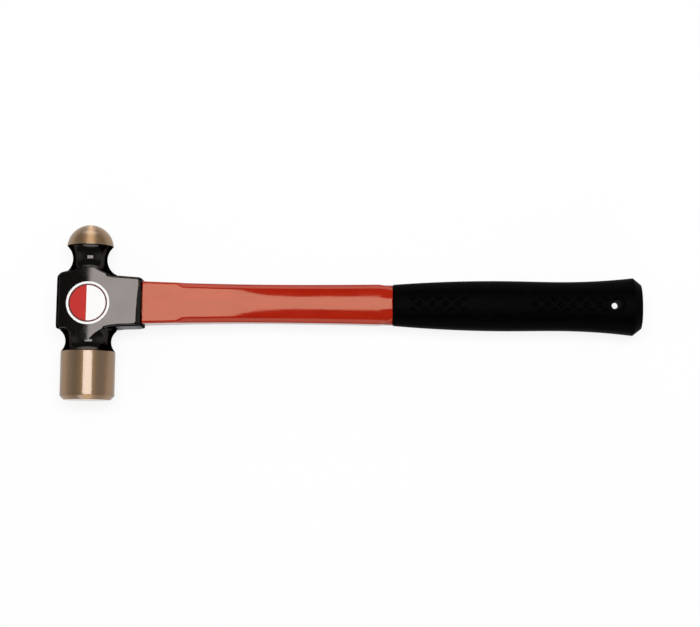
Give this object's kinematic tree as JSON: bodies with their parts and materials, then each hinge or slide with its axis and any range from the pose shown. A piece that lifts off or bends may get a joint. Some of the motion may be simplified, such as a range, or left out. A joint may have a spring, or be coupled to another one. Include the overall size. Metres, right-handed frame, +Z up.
{
  "type": "ball peen hammer",
  "caption": "Ball peen hammer with a forged steel head resin-bonded to a red jacketed fibreglass handle with a black rubber grip.",
  "frame": {"origin": "bottom centre of the whole hammer's box as it lies on its side", "axes": "+X along the handle from the head to the butt, +Y from the striking face towards the ball, +Z up, across the thickness of the hammer"},
  "size_m": [0.3408, 0.1028, 0.0317],
  "materials": {
    "forged_steel": "gloss black lacquer over forged steel, with the poll and the ball turned bright",
    "resin": "cast amber epoxy",
    "fibreglass": "pultruded fibreglass, sawn ends",
    "red_jacket": "gloss red moulded plastic",
    "black_rubber": "satin moulded rubber with a fine relief pattern",
    "label": "gloss printed sticker, red and white fields"
  },
  "bodies": {
    "root": {"head": "forged_steel", "head_label": "label", "epoxy_bond": "resin", "handle_core": "fibreglass", "handle_jacket": "red_jacket", "grip": "black_rubber"}
  },
  "joints": []
}
